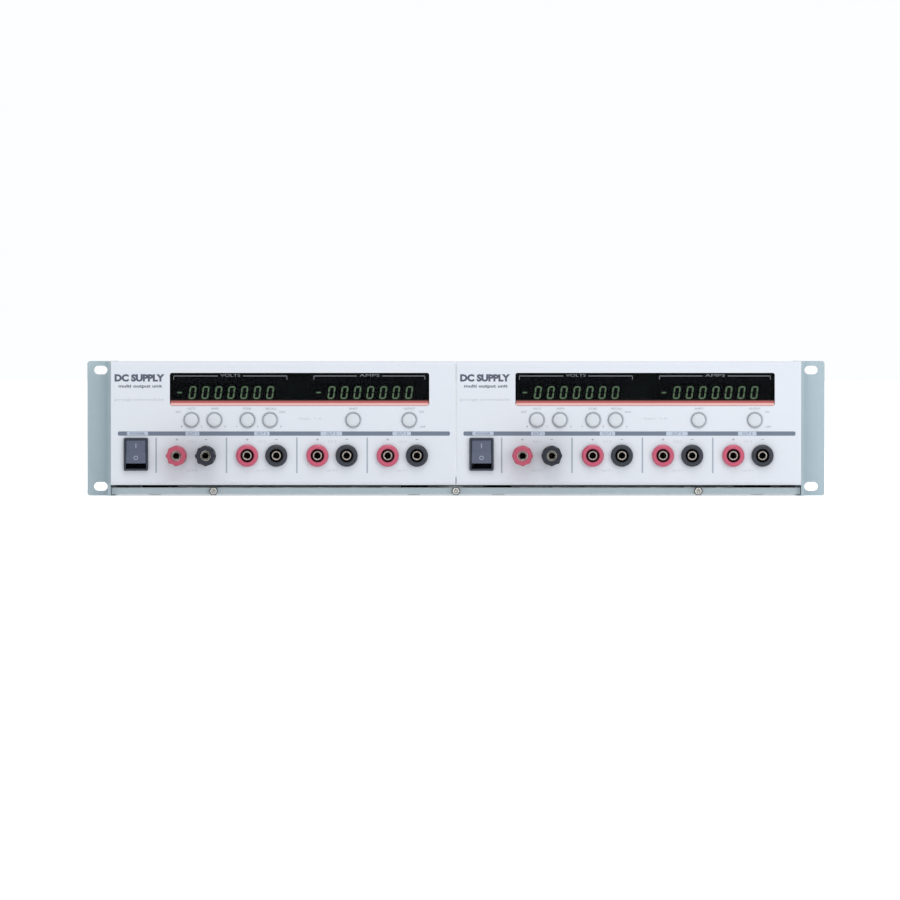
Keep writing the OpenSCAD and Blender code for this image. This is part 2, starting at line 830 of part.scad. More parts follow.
// A pan-head screw whose head stands back of y; it points forward.
module pan_screw_forward(x, y, z, r, len) {
    difference() {
        union() {
            rod_y(x, y - len, z, r, len + 0.5);
            rod_y(x, y, z, r * 1.9, r * 1.2);
        }
        rod_y(x, y + r * 0.6, z, r * 0.6, r);
    }
}

// A hexagonal nut on a terminal's axis; f is how far forward of the face it starts.
module terminal_nut(x, f, across, hole) {
    difference() {
        hex_y(x, face_y - f, pair_z, across, 3);
        rod_y(x, face_y - f - 1, pair_z, hole, 5);
    }
}

module unit_fasteners() {
    color("silver") {
        post_places() for (f = [-face_t - 2.05, -face_t - 6])
            terminal_nut(0, f, 10, stud_r + run_gap);
        for (i = [1:3], x = [0, 1])
            terminal_nut(pair_x[i] + (x - 0.5) * pair_gap, -face_t - 0.05, 15, 5.85);
        for (x = boss_x, z = boss_z) pan_screw_forward(x, board_y + board_t, z, 1.25, 6.4);
        for (x = [-60, 0, 60]) pan_screw_forward(x, chassis_front + sheet, 13.6, 1.25, 8);
        for (x = [-98, 98]) pan_screw_forward(x, case_d, 16.5, 1.5, 5);
        pan_screw_forward(-24, case_d, 22, 2, 6);
        for (x = SIDES, z = SIDES)
            pan_screw_forward(fan_x + x * fan_bolt, case_d, fan_z + z * fan_bolt, 2, 20);
        for (z = SIDES) translate([inlet_x, case_d + 3, inlet_z + z * 23]) rotate([90, 0, 0]) {
            cylinder(h = 1.7, r1 = 3, r2 = 1.5);
            cylinder(h = 9, r = 1.5);
        }
        for (x = [-80, 80]) translate([x, 254, case_top]) {
            cylinder(h = 1.7, r = 2.8);
            translate([0, 0, -6]) cylinder(h = 6.2, r = 1.5);
        }
    }
}

// ---- Nodes ----

placed() rack_tray();
placed() ear(-1);  // left_ear
placed() ear(1);  // right_ear
placed() ear_screws();
placed() lip_screws();
in_both() unit_screws();
in_both() unit_feet();
in_both() unit_fasteners();
in_both() post_studs();
in_both() socket_contacts();
in_both() red_terminals();
in_both() black_terminals();
in_both() fan_frame();  // fan_frames
in_both() power_inlet();  // power_inlets
in_both() switch_body();  // switch_bodies
in_both() wiring();

in_unit(-1) front_bezel();  // left_bezel
in_unit(-1) display_window();  // left_window
in_unit(-1) digits();  // left_digits
in_unit(-1) front_board();  // left_front_board
in_unit(-1) chassis();  // left_chassis
in_unit(-1) cover();  // left_cover
in_unit(-1) rear_panel();  // left_rear_panel
in_unit(-1) transformer();  // left_transformer
in_unit(-1) main_board();  // left_main_board
in_unit(-1) key(0);  // left_key_1
in_unit(-1) key(1);  // left_key_2
in_unit(-1) key(2);  // left_key_3
in_unit(-1) key(3);  // left_key_4
in_unit(-1) key(4);  // left_key_5
in_unit(-1) key(5);  // left_key_6
in_unit(-1) rocker();  // left_rocker
in_unit(-1) post_bush(0);  // left_red_bush
in_unit(-1) red_cap();  // left_red_cap
in_unit(-1) post_bush(1);  // left_black_bush
in_unit(-1) black_cap();  // left_black_cap
in_unit(-1) fan_rotor();  // left_fan_rotor
in_unit(-1) fuse_drawer();  // left_fuse_drawer

in_unit(1) front_bezel();  // right_bezel
in_unit(1) display_window();  // right_window
in_unit(1) digits();  // right_digits
in_unit(1) front_board();  // right_front_board
in_unit(1) chassis();  // right_chassis
in_unit(1) cover();  // right_cover
in_unit(1) rear_panel();  // right_rear_panel
in_unit(1) transformer();  // right_transformer
in_unit(1) main_board();  // right_main_board
in_unit(1) key(0);  // right_key_1
in_unit(1) key(1);  // right_key_2
in_unit(1) key(2);  // right_key_3
in_unit(1) key(3);  // right_key_4
in_unit(1) key(4);  // right_key_5
in_unit(1) key(5);  // right_key_6
in_unit(1) rocker();  // right_rocker
in_unit(1) post_bush(0);  // right_red_bush
in_unit(1) red_cap();  // right_red_cap
in_unit(1) post_bush(1);  // right_black_bush
in_unit(1) black_cap();  // right_black_cap
in_unit(1) fan_rotor();  // right_fan_rotor
in_unit(1) fuse_drawer();  // right_fuse_drawer
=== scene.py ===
# %% [markdown]
# # A twin bench power supply in a rack tray
# Two half-rack instruments sit side by side in a tray with rack ears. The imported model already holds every
# hard part at its real size. This lesson adds what a model maker adds last: printed legends, lit digits,
# rounded switch rockers, coloured components, and a finish for every surface.

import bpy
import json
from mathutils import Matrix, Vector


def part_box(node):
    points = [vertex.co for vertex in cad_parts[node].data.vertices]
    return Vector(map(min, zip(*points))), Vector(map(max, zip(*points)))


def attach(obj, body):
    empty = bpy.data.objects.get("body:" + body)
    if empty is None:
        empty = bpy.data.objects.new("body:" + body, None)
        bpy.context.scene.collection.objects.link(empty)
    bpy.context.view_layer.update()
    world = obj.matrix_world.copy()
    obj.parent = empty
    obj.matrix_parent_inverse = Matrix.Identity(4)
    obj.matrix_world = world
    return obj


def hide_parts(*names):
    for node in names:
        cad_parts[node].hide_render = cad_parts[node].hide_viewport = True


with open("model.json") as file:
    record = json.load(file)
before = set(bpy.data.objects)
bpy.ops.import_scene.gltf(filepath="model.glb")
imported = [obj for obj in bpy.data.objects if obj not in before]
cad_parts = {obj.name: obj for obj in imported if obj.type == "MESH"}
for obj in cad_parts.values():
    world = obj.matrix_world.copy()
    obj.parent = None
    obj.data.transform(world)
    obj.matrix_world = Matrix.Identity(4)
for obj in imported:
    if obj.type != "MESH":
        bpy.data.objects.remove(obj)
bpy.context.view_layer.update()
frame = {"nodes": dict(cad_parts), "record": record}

# %% Shared names
import json
import math
import bpy
from mathutils import Matrix, Vector

MM = 0.001
SIDES = ("left", "right")
BASE = "frame"


def face_y(side):
    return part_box(side + "_bezel")[0][1]


def middle_x(side):
    low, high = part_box(side + "_bezel")
    return (low[0] + high[0]) / 2


PITCH = middle_x("right") - middle_x("left")
FACE = face_y("left")
X0 = middle_x("left")
print("instruments are %.1f mm apart, faces at y = %.1f mm" % (PITCH / MM, FACE / MM))

# %% [markdown]
# ## The camera
# A camera close in front would show the inner sides of every opening. A very long lens from far off keeps all
# lines nearly parallel. It stands just above the top edge, so it shows only a sliver of the tops. Lens shift
# could frame the same view, but a slight downward tilt is simpler.

# %% Camera
LENS_AWAY = 6.0
LENS_UP = 0.105
LENS_PER_METRE = 61.1
SIGHT_END = 60.0
AIM = Vector((-0.0039, -0.113, 0.0298))
bpy.ops.object.camera_add(location=(AIM.x, AIM.y - LENS_AWAY, LENS_UP))
camera = bpy.context.object
camera.data.lens = LENS_PER_METRE * LENS_AWAY
camera.data.clip_end = SIGHT_END
camera.rotation_euler = (AIM - camera.location).to_track_quat("-Z", "Y").to_euler()
bpy.context.scene.camera = camera
print("camera tilt: %.1f degrees down" % (90 - math.degrees(camera.rotation_euler.x)))

# %% [markdown]
# ## The studio
# A pale floor and a pale sky give even light on the fronts, like a light tent. The floor glows a little, as a
# light table does, and fills the shadows under the bezels. A sun would be simpler, but its hard shadows would
# hide the small legends. So one broad lamp above and in front draws the soft shadows under the terminals, a
# weaker one in front makes the right side a little lighter, and a third lights the back.

# %% Studio floor and sky
FLOOR_SIZE = 30.0
FLOOR_TONE = 0.88
FLOOR_GLOW = 0.36
bpy.ops.mesh.primitive_plane_add(size=FLOOR_SIZE, location=(0, 0, 0))
floor = bpy.context.object
floor.name = "studio_floor"
floor_paint = bpy.data.materials.new("floor paint")
floor_paint.use_nodes = True
floor_shader = floor_paint.node_tree.nodes["Principled BSDF"]
floor_shader.inputs["Base Color"].default_value = (FLOOR_TONE, FLOOR_TONE, FLOOR_TONE, 1)
floor_shader.inputs["Roughness"].default_value = 0.9
floor_shader.inputs["Specular IOR Level"].default_value = 0.1
floor_shader.inputs["Emission Color"].default_value = (1, 1, 1, 1)
floor_shader.inputs["Emission Strength"].default_value = FLOOR_GLOW
floor.data.materials.append(floor_paint)

sky = bpy.data.worlds.new("studio sky")
sky.use_nodes = True
sky.node_tree.nodes["Background"].inputs["Color"].default_value = (0.98, 0.99, 1.0, 1)
sky.node_tree.nodes["Background"].inputs["Strength"].default_value = 1.0
bpy.context.scene.world = sky
bpy.context.scene.view_settings.view_transform = "Standard"
print("floor and sky ready")

# %% Three broad lamps


def lamp(name, place, aim_at, width, height, watts):
    bpy.ops.object.light_add(type="AREA", location=place)
    made = bpy.context.object
    made.name = name
    made.data.shape = "RECTANGLE"
    made.data.size = width
    made.data.size_y = height
    made.data.energy = watts
    made.rotation_euler = (Vector(aim_at) - Vector(place)).to_track_quat("-Z", "Y").to_euler()
    return made


# name, place, target, width and height in metres, watts
LAMPS = (
    ("lamp_above", (0.1, -1.1, 1.8), (0, -0.1, 0.04), 1.2, 0.7, 13),
    ("lamp_right", (1.0, -1.3, 0.5), (0.1, 0, 0.04), 0.8, 0.8, 6),
    ("lamp_behind", (0.8, 2.0, 1.6), (0, 0, 0.04), 1.4, 0.9, 9),
)
for row in LAMPS:
    lamp(*row)
print(len(LAMPS), "lamps placed")

# %% [markdown]
# ## Surface effects as node groups
# Moulded grain, brushed lines, slow colour drift, settled dust and finger marks turn up on many finishes. They
# could be drawn again in every material, but then a change would have to be made thirty times. So each is a
# small node group that puts out a mask, a height or a colour, and each finish gives it its own values. The
# shader itself stays in the material.

# %% A new node group, placed on the object


def effect(name, sockets_in, sockets_out):
    tree = bpy.data.node_groups.new(name, "ShaderNodeTree")
    for label, kind, value in sockets_in:
        socket = tree.interface.new_socket(label, in_out="INPUT", socket_type=kind)
        socket.default_value = value
    for label, kind in sockets_out:
        tree.interface.new_socket(label, in_out="OUTPUT", socket_type=kind)
    start = tree.nodes.new("NodeGroupInput")
    end = tree.nodes.new("NodeGroupOutput")
    return tree, start, end


def place_on_object(tree, stretch=(1, 1, 1)):
    where = tree.nodes.new("ShaderNodeTexCoord")
    turn = tree.nodes.new("ShaderNodeMapping")
    turn.inputs["Scale"].default_value = stretch
    tree.links.new(where.outputs["Object"], turn.inputs["Vector"])
    return turn.outputs["Vector"]


# %% Noise, sums and ranges inside a group


def noise(tree, vector, scale, detail, rough=0.5):
    made = tree.nodes.new("ShaderNodeTexNoise")
    made.inputs["Detail"].default_value = detail
    made.inputs["Roughness"].default_value = rough
    tree.links.new(vector, made.inputs["Vector"])
    if isinstance(scale, (int, float)):
        made.inputs["Scale"].default_value = scale
    else:
        tree.links.new(scale, made.inputs["Scale"])
    return made.outputs["Fac"]


def calc(tree, kind, a, b, clamp=False):
    made = tree.nodes.new("ShaderNodeMath")
    made.operation = kind
    made.use_clamp = clamp
    for socket, value in zip(made.inputs, (a, b)):
        if isinstance(value, (int, float)):
            socket.default_value = value
        else:
            tree.links.new(value, socket)
    return made.outputs[0]


def remap(tree, value, low, high, to_low, to_high):
    made = tree.nodes.new("ShaderNodeMapRange")
    for label, item in (("From Min", low), ("From Max", high), ("To Min", to_low), ("To Max", to_high)):
        if isinstance(item, (int, float)):
            made.inputs[label].default_value = item
        else:
            tree.links.new(item, made.inputs[label])
    tree.links.new(value, made.inputs["Value"])
    return made.outputs["Result"]


# %% Moulded grain: the spark-eroded texture of a moulding tool
grain, start, end = effect(
    "moulded grain",
    [("Scale", "NodeSocketFloat", 2600.0), ("Depth", "NodeSocketFloat", 1.0)],
    [("Height", "NodeSocketFloat")],
)
spot = place_on_object(grain)
fine = noise(grain, spot, start.outputs["Scale"], detail=3.0, rough=0.6)
grain.links.new(calc(grain, "MULTIPLY", fine, start.outputs["Depth"]), end.inputs["Height"])
print("made", grain.name)

# %% Brushed lines: fine scratches along the width, from rolling and brushing
brushed, start, end = effect(
    "brushed lines",
    [("Depth", "NodeSocketFloat", 1.0)],
    [("Height", "NodeSocketFloat")],
)
LONG_SCRATCHES = (8, 160, 900)
spot = place_on_object(brushed, LONG_SCRATCHES)
lines = noise(brushed, spot, scale=6.0, detail=4.0, rough=0.65)
brushed.links.new(calc(brushed, "MULTIPLY", lines, start.outputs["Depth"]), end.inputs["Height"])
print("made", brushed.name)

# %% Colour drift: paint and plastic are never quite one colour
drift, start, end = effect(
    "colour drift",
    [("Colour", "NodeSocketColor", (0.5, 0.5, 0.5, 1)), ("Amount", "NodeSocketFloat", 0.05)],
    [("Colour", "NodeSocketColor")],
)
slow = noise(drift, place_on_object(drift), scale=28.0, detail=3.0)
swing = calc(drift, "SUBTRACT", slow, 0.5)
level = calc(drift, "ADD", calc(drift, "MULTIPLY", swing, start.outputs["Amount"]), 1.0)
tint = drift.nodes.new("ShaderNodeVectorMath")
tint.operation = "SCALE"
drift.links.new(start.outputs["Colour"], tint.inputs[0])
drift.links.new(level, tint.inputs["Scale"])
drift.links.new(tint.outputs["Vector"], end.inputs["Colour"])
print("made", drift.name)

# %% Settled dust: it lies on faces that look up, in soft patches
dust, start, end = effect(
    "settled dust",
    [("Amount", "NodeSocketFloat", 0.2)],
    [("Mask", "NodeSocketFloat")],
)
shape = dust.nodes.new("ShaderNodeNewGeometry")
split = dust.nodes.new("ShaderNodeSeparateXYZ")
dust.links.new(shape.outputs["Normal"], split.inputs["Vector"])
LEVEL_ENOUGH = (0.45, 0.95)
PATCHY_NOISE = (0.4, 0.75)
upward = remap(dust, split.outputs["Z"], *LEVEL_ENOUGH, to_low=0.0, to_high=1.0)
cloud = noise(dust, place_on_object(dust), scale=55.0, detail=6.0, rough=0.7)
patches = remap(dust, cloud, *PATCHY_NOISE, to_low=0.25, to_high=1.0)
lying = calc(dust, "MULTIPLY", upward, patches)
dust.links.new(calc(dust, "MULTIPLY", lying, start.outputs["Amount"], True), end.inputs["Mask"])
print("made", dust.name)

# %% Finger marks: slow patches that are a little shinier or duller
marks, start, end = effect(
    "finger marks",
    [("Low", "NodeSocketFloat", 0.4), ("High", "NodeSocketFloat", 0.55)],
    [("Roughness", "NodeSocketFloat")],
)
MOST_NOISE = (0.3, 0.7)
blotch = noise(marks, place_on_object(marks), scale=70.0, detail=5.0, rough=0.6)
dull = remap(marks, blotch, *MOST_NOISE, start.outputs["Low"], start.outputs["High"])
marks.links.new(dull, end.inputs["Roughness"])
print("made", marks.name)

# %% [markdown]
# ## The finishes
# On the real thing there are moulded plastics, powder paint, bare and plated metals. Each could have its own
# node tree, but they differ in values more than in kind. So every finish is the same recipe: base colour with
# drift, dust on top, roughness from the finger marks, and a bump from the grain or the brushed lines. The
# Principled shader's plain values, such as metallic and coat, sit on its own sockets.

# %% Recipe for a finish
DUST_COLOUR = (0.55, 0.53, 0.50, 1)
BUMP_STRENGTH = 0.6
BUMP_DEPTH = 0.2 * MM


def finish(name, colour, rough=(0.4, 0.55), metallic=0.0, texture="grain", scale=2600.0, depth=0.08,
           amount=0.05, dusty=0.12, coat=0.0, specular=0.5):
    made = bpy.data.materials.new(name)
    made.use_nodes = True
    tree = made.node_tree
    shader = tree.nodes["Principled BSDF"]
    shader.inputs["Metallic"].default_value = metallic
    shader.inputs["Coat Weight"].default_value = coat
    shader.inputs["Specular IOR Level"].default_value = specular

    def use(group, **values):
        node = tree.nodes.new("ShaderNodeGroup")
        node.node_tree = group
        for label, value in values.items():
            node.inputs[label.replace("_", " ")].default_value = value
        return node

    coloured = use(drift, Colour=(*colour, 1), Amount=amount)
    settled = use(dust, Amount=dusty)
    mix = tree.nodes.new("ShaderNodeMix")
    mix.data_type = "RGBA"
    mix.inputs["B"].default_value = DUST_COLOUR
    tree.links.new(settled.outputs["Mask"], mix.inputs["Factor"])
    tree.links.new(coloured.outputs["Colour"], mix.inputs["A"])
    tree.links.new(mix.outputs["Result"], shader.inputs["Base Color"])
    worn = use(marks, Low=rough[0], High=rough[1])
    tree.links.new(worn.outputs["Roughness"], shader.inputs["Roughness"])
    bump = tree.nodes.new("ShaderNodeBump")
    bump.inputs["Strength"].default_value = BUMP_STRENGTH
    bump.inputs["Distance"].default_value = BUMP_DEPTH
    if texture == "grain":
        relief = use(grain, Scale=scale, Depth=depth)
    else:
        relief = use(brushed, Depth=depth)
    tree.links.new(relief.outputs["Height"], bump.inputs["Height"])
    tree.links.new(bump.outputs["Normal"], shader.inputs["Normal"])
    return made


# %% Finishes of the housing
bezel_plastic = finish("bezel plastic", (0.482, 0.508, 0.553), (0.42, 0.55), depth=0.5, amount=0.03, dusty=0.06)
key_plastic = finish("key plastic", (0.435, 0.463, 0.492), (0.35, 0.48), depth=0.25, amount=0.03, dusty=0.05)
tray_paint = finish("tray paint", (0.465, 0.545, 0.577), (0.38, 0.55), scale=1500, depth=0.9, amount=0.06,
                    dusty=0.18)
ear_metal = finish("ear metal", (0.305, 0.378, 0.415), (0.42, 0.55), 0.35, "lines", depth=0.5, amount=0.06)
cover_paint = finish("cover paint", (0.40, 0.42, 0.45), (0.45, 0.6), scale=1300, depth=1.3, amount=0.05,
                     dusty=0.22)
case_steel = finish("case steel", (0.47, 0.48, 0.49), (0.28, 0.42), 0.9, "lines", depth=0.6, amount=0.08)
print(len(bpy.data.materials), "materials so far")

# %% Screws and contacts
zinc = finish("zinc plate", (0.62, 0.61, 0.58), (0.22, 0.4), 1.0, scale=1800, depth=0.3, amount=0.15)
dark_screw = finish("blackened steel", (0.20, 0.21, 0.22), (0.3, 0.45), 0.9, scale=1800, depth=0.3, amount=0.2)
nickel = finish("nickel plate", (0.72, 0.70, 0.66), (0.12, 0.26), 1.0, scale=2500, depth=0.1, amount=0.05)
# the contact plate is given a darker colour than bare nickel
contact_metal = finish("dark contact plate", (0.34, 0.31, 0.28), (0.25, 0.4), 0.9, scale=2500, depth=0.1,
                       amount=0.15, dusty=0.0)
# the bore's near-black colour is painted shade inside the contact holes
bore_shade = finish("painted bore shade", (0.085, 0.074, 0.072), (0.5, 0.65), 0.3, scale=1500, depth=0.4,
                   amount=0.2, dusty=0.0)
print(len(bpy.data.materials), "materials so far")

# %% Terminals, caps, switches and feet
red_plastic = finish("red insulation", (0.360, 0.050, 0.097), (0.3, 0.42), depth=0.25, amount=0.08, dusty=0.02)
black_plastic = finish("black insulation", (0.019, 0.022, 0.031), (0.34, 0.48), depth=0.25, amount=0.15,
                       dusty=0.02, specular=0.3)
red_cap_plastic = finish("red cap", (0.300, 0.036, 0.075), (0.3, 0.42), depth=0.3, amount=0.1, dusty=0.02)
black_cap_plastic = finish("black cap", (0.011, 0.013, 0.020), (0.34, 0.48), depth=0.3, amount=0.15,
                           dusty=0.02, specular=0.25)
switch_plastic = finish("switch plastic", (0.022, 0.028, 0.043), (0.36, 0.48), depth=0.3, amount=0.1,
                        dusty=0.02, specular=0.3)
rocker_plastic = finish("rocker plastic", (0.062, 0.075, 0.112), (0.34, 0.46), depth=0.3, amount=0.1,
                        dusty=0.02, specular=0.35)
foot_rubber = finish("foot rubber", (0.02, 0.02, 0.021), (0.7, 0.85), scale=900, depth=0.8, amount=0.2, dusty=0.3)
print(len(bpy.data.materials), "materials so far")

# %% Boards, components and leads
board_green = finish("solder mask", (0.012, 0.11, 0.045), (0.2, 0.35), scale=400, depth=0.2, amount=0.3, coat=0.4)
sleeve_blue = finish("capacitor sleeve", (0.02, 0.035, 0.14), (0.25, 0.35), scale=600, depth=0.1, amount=0.1)
film_yellow = finish("film capacitor", (0.62, 0.42, 0.03), (0.3, 0.4), scale=600, depth=0.1, amount=0.1)
chip_black = finish("moulded package", (0.018, 0.018, 0.02), (0.5, 0.65), scale=1200, depth=0.4, amount=0.1)
connector_white = finish("nylon connector", (0.68, 0.66, 0.58), (0.4, 0.5), scale=1200, depth=0.2, amount=0.05)
fin_metal = finish("heat sink", (0.32, 0.33, 0.35), (0.35, 0.5), 0.9, "lines", depth=0.5, amount=0.1, dusty=0.3)
lead_jacket = finish("lead jacket", (0.03, 0.03, 0.034), (0.45, 0.6), scale=1400, depth=0.3, amount=0.1)
ribbon_grey = finish("ribbon cable", (0.33, 0.34, 0.36), (0.45, 0.6), texture="lines", depth=0.3, amount=0.1)
print(len(bpy.data.materials), "materials so far")

# %% [markdown]
# ## Glass, light and ink
# The window is smoked acrylic: it passes about a third of the light and hides the unlit parts. Real refraction
# would make it grainy and slow, so the pane is a dark surface that is partly see-through. The lit bars glow, and
# the glow drifts a little from bar to bar, as real ones do. The inks are silk-screen paints: thin, matt, and a
# touch uneven.

# %% Window and digits
SMOKE = 0.66
pane_smoke = finish("smoked pane", (0.0018, 0.0022, 0.0030), (0.06, 0.14), texture="lines", depth=0.02,
                    amount=0.1, dusty=0.0, specular=0.04)
pane_smoke.node_tree.nodes["Principled BSDF"].inputs["Alpha"].default_value = SMOKE
digit_face = finish("digit face", (0.004, 0.016, 0.006), (0.35, 0.45), depth=0.1, amount=0.2, dusty=0.0,
                    specular=0.15)
dark_bar = finish("unlit bar", (0.010, 0.034, 0.016), (0.4, 0.5), depth=0.1, amount=0.2, dusty=0.0,
                  specular=0.15)


def glow(name, colour, strength):
    made = finish(name, colour, (0.4, 0.5), depth=0.1, amount=0.25, dusty=0.0, specular=0.1)
    shader = made.node_tree.nodes["Principled BSDF"]
    source = shader.inputs["Base Color"].links[0].from_socket
    made.node_tree.links.new(source, shader.inputs["Emission Color"])
    shader.inputs["Emission Strength"].default_value = strength
    return made


lit_bar = glow("lit bar", (0.42, 0.67, 0.40), 1.85)
print("window and digit finishes ready")

# %% Inks


def ink(name, colour, amount, dusty, rough=(0.5, 0.62)):
    return finish(name, colour, rough, depth=0.15, amount=amount, dusty=dusty)


WORN_INK = (0.4, 0.55)
band_ink = ink("band ink", (0.094, 0.121, 0.166), 0.1, 0.04)
tab_ink = ink("tab ink", (0.33, 0.385, 0.47), 0.06, 0.04)
line_ink = ink("divider ink", (0.25, 0.285, 0.33), 0.08, 0.04)
dark_ink = ink("dark ink", (0.055, 0.062, 0.095), 0.15, 0.03)
grey_ink = ink("grey ink", (0.19, 0.205, 0.24), 0.15, 0.03)
faint_ink = ink("faint ink", (0.36, 0.37, 0.42), 0.1, 0.03)
window_ink = ink("window ink", (0.115, 0.12, 0.14), 0.15, 0.0)
deep_red_line = ink("deep red line", (0.085, 0.012, 0.010), 0.1, 0.0, WORN_INK)
red_line = ink("red line", (0.36, 0.080, 0.073), 0.1, 0.02, WORN_INK)
pale_red_line = ink("pale red line", (0.58, 0.33, 0.315), 0.1, 0.02, WORN_INK)
mark_ink = ink("rocker mark", (0.19, 0.22, 0.29), 0.12, 0.0, (0.4, 0.5))
print(len(bpy.data.materials), "materials so far")

# %% [markdown]
# ## Modelling helpers
# An operator acts on whatever is selected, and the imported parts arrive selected. So every step first deselects
# everything and picks one piece. In edit mode, faces and edges are chosen by where they are and which way they
# point, because there is no mouse to click them with. What an instrument has is modelled once, on the left one,
# and the right one gets a copy with its own mesh.

# %% Pick a piece, fix its place into its mesh, and give it materials


def only(piece):
    active = bpy.context.view_layer.objects.active
    if active and active.mode != "OBJECT":
        bpy.ops.object.mode_set(mode="OBJECT")
    bpy.ops.object.select_all(action="DESELECT")
    bpy.context.view_layer.objects.active = piece
    piece.select_set(True)
    return piece


def fix_place(piece):
    only(piece)
    bpy.ops.object.transform_apply(location=True, rotation=True, scale=True)
    return piece


def paint(piece, *materials):
    piece.data.materials.clear()
    for material in materials:
        piece.data.materials.append(material)
    return piece


# %% Choose faces or edges by a test, then work on them


def choose(piece, kind, test):
    only(piece)
    bpy.ops.object.mode_set(mode="EDIT")
    bpy.ops.mesh.select_mode(type=kind)
    bpy.ops.mesh.select_all(action="DESELECT")
    bpy.ops.object.mode_set(mode="OBJECT")
    mesh = piece.data
    for item in mesh.polygons if kind == "FACE" else mesh.edges:
        item.select = test(item)
    bpy.ops.object.mode_set(mode="EDIT")


Y_AXIS = 1
PARALLEL = 0.999


def runs_along(piece, axis):
    points = piece.data.vertices

    def test(edge):
        a, b = (points[i].co for i in edge.vertices)
        run = (b - a).normalized()
        return abs(run[axis]) > PARALLEL

    return test


def leave_edit():
    bpy.ops.object.mode_set(mode="OBJECT")


# %% Clean up, soften, join and copy
WELD = 1e-7
SMOOTH_BELOW = 40


def face_out(piece):
    only(piece)
    bpy.ops.object.mode_set(mode="EDIT")
    bpy.ops.mesh.select_all(action="SELECT")
    bpy.ops.mesh.remove_doubles(threshold=WELD)
    bpy.ops.mesh.normals_make_consistent(inside=False)
    leave_edit()
    return piece


def soften(piece, width, segments, angle):
    only(piece)
    made = piece.modifiers.new("softened edges", "BEVEL")
    made.width = width
    made.segments = segments
    made.limit_method = "ANGLE"
    made.angle_limit = math.radians(angle)
    bpy.ops.object.modifier_apply(modifier=made.name)
    bpy.ops.object.shade_smooth_by_angle(angle=math.radians(SMOOTH_BELOW))
    return piece


def join(pieces):
    only(pieces[0])
    for piece in pieces[1:]:
        piece.select_set(True)
    bpy.ops.object.join()
    return bpy.context.object


def copy_of(piece, shift):
    only(piece)
    bpy.ops.object.duplicate()
    made = bpy.context.object
    made.location = Vector(shift)
    return fix_place(made)


# %% Fit a piece to both instruments


def fit_both(piece, name, body=BASE, stands_for=()):
    fix_place(piece)
    pair = {"left": piece, "right": copy_of(piece, (PITCH, 0, 0))}
    for side, made in pair.items():
        made.name = side + "_" + name
        made.data.name = made.name
        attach(made, BASE if body == BASE else side + "_" + body)
        if stands_for:
            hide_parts(*[side + "_" + node for node in stands_for])
    print("fitted", name, "with", len(piece.data.polygons), "faces")
    return pair


# %% A block between two corners, and a printed strip with rounded corners


def block(low, high):
    middle = [(a + b) / 2 for a, b in zip(low, high)]
    size = [b - a for a, b in zip(low, high)]
    bpy.ops.object.select_all(action="DESELECT")
    bpy.ops.mesh.primitive_cube_add(size=1, location=middle, scale=size)
    return fix_place(bpy.context.object)


PRINT = 0.05
BURIED = 0.1
CORNER_STEPS = 4


def strip(x0, x1, z0, z1, corner, surface=None, proud=PRINT):
    front = FACE if surface is None else surface
    low = (X0 + x0 * MM, front - proud * MM, z0 * MM)
    high = (X0 + x1 * MM, front + BURIED * MM, z1 * MM)
    piece = block(low, high)
    choose(piece, "EDGE", runs_along(piece, Y_AXIS))
    bpy.ops.mesh.bevel(offset=corner * MM, segments=CORNER_STEPS, affect="EDGES")
    leave_edit()
    return piece


# %% Letters as a thin raised print
RAW_DEPTH = 0.1
CURVE_STEPS = 3


def lettering(words, x, z, width, height, surface=None, bold=0.0, rear=False, proud=PRINT):
    front = FACE if surface is None else surface
    bpy.ops.object.select_all(action="DESELECT")
    bpy.ops.object.text_add(location=(0, 0, 0))
    letters = bpy.context.object
    letters.data.body = words
    letters.data.extrude = RAW_DEPTH
    letters.data.offset = bold
    letters.data.resolution_u = CURVE_STEPS
    bpy.ops.object.convert(target="MESH")
    letters = bpy.context.object
    spots = [point.co for point in letters.data.vertices]
    low = Vector([min(spot[i] for spot in spots) for i in range(3)])
    high = Vector([max(spot[i] for spot in spots) for i in range(3)])
    size = high - low
    for point in letters.data.vertices:
        point.co = point.co - (low + high) / 2
    thick = (proud + BURIED) * MM
    letters.scale = (width * MM / size.x, height * MM / size.y, thick / size.z)
    letters.rotation_euler = (math.radians(90), 0, math.radians(180) if rear else 0)
    sunk = (BURIED - proud) / 2 * MM
    letters.location = (X0 + x * MM, front + (-sunk if rear else sunk), z * MM)
    fix_place(letters)
    return face_out(letters)


print("helpers ready")

# %% [markdown]
# ## The printed front
# On the real instrument the legends are screen-printed over the moulded bezel. They could be colour in the
# bezel's material, but here each ink is a very thin raised layer, so its edges stay sharp from any distance
# and it survives an export that keeps only meshes. A blue-grey band runs the full width, with pale tabs that
# name the switch and the outputs.

# %% The band
BAND_X = (-107.85, 108.75)
BAND_Z = (39.4, 42.2)
BAND_CORNER = 0.9
band = strip(*BAND_X, *BAND_Z, BAND_CORNER)
fit_both(paint(band, band_ink), "band")

# %% Its tabs, one for the switch and one for each output
SWITCH_TAB = (-101.95, -88.15)
TAB_CENTRES = (-59.2, -13.9, 31.4, 77.3)
TAB_WIDTHS = (9.0, 10.0, 14.0, 12.0)
TAB_Z = (39.55, 42.05)
TAB_CORNER = 0.6
TAB_PROUD = 0.08
tabs = [strip(*SWITCH_TAB, *TAB_Z, TAB_CORNER, proud=TAB_PROUD)]
for centre, wide in zip(TAB_CENTRES, TAB_WIDTHS):
    tabs.append(strip(centre - wide / 2, centre + wide / 2, *TAB_Z, TAB_CORNER, proud=TAB_PROUD))
fit_both(paint(join(tabs), tab_ink), "band_tabs")

